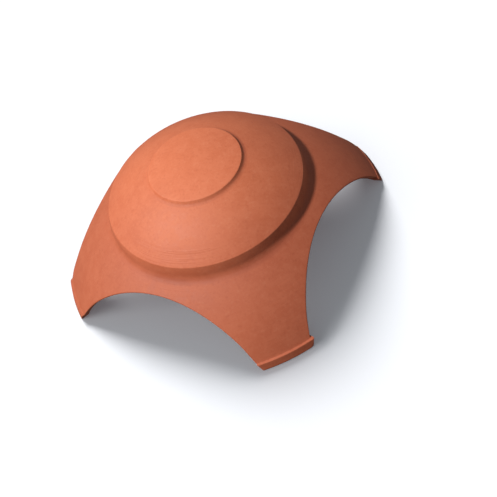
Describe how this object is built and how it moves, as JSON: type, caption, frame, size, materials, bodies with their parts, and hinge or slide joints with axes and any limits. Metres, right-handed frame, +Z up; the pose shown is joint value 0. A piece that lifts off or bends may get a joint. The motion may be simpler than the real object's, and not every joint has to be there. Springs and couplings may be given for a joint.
{
  "type": "four-way ridge tile",
  "caption": "Hollow domed roof tile of fired clay with arched gaps between its legs, which caps the point where roof ridges cross.",
  "frame": {"origin": "on the ground that the feet stand on, below the centre of the crown", "axes": "+Z up through the crown, one leg along each of +X, -X, +Y and -Y; the leg nearest to the camera in the picture points along -Y"},
  "size_m": [0.5258, 0.5258, 0.1758],
  "materials": {
    "terracotta": "matte"
  },
  "bodies": {
    "root": {"four_way_ridge_tile": "terracotta"}
  },
  "joints": []
}
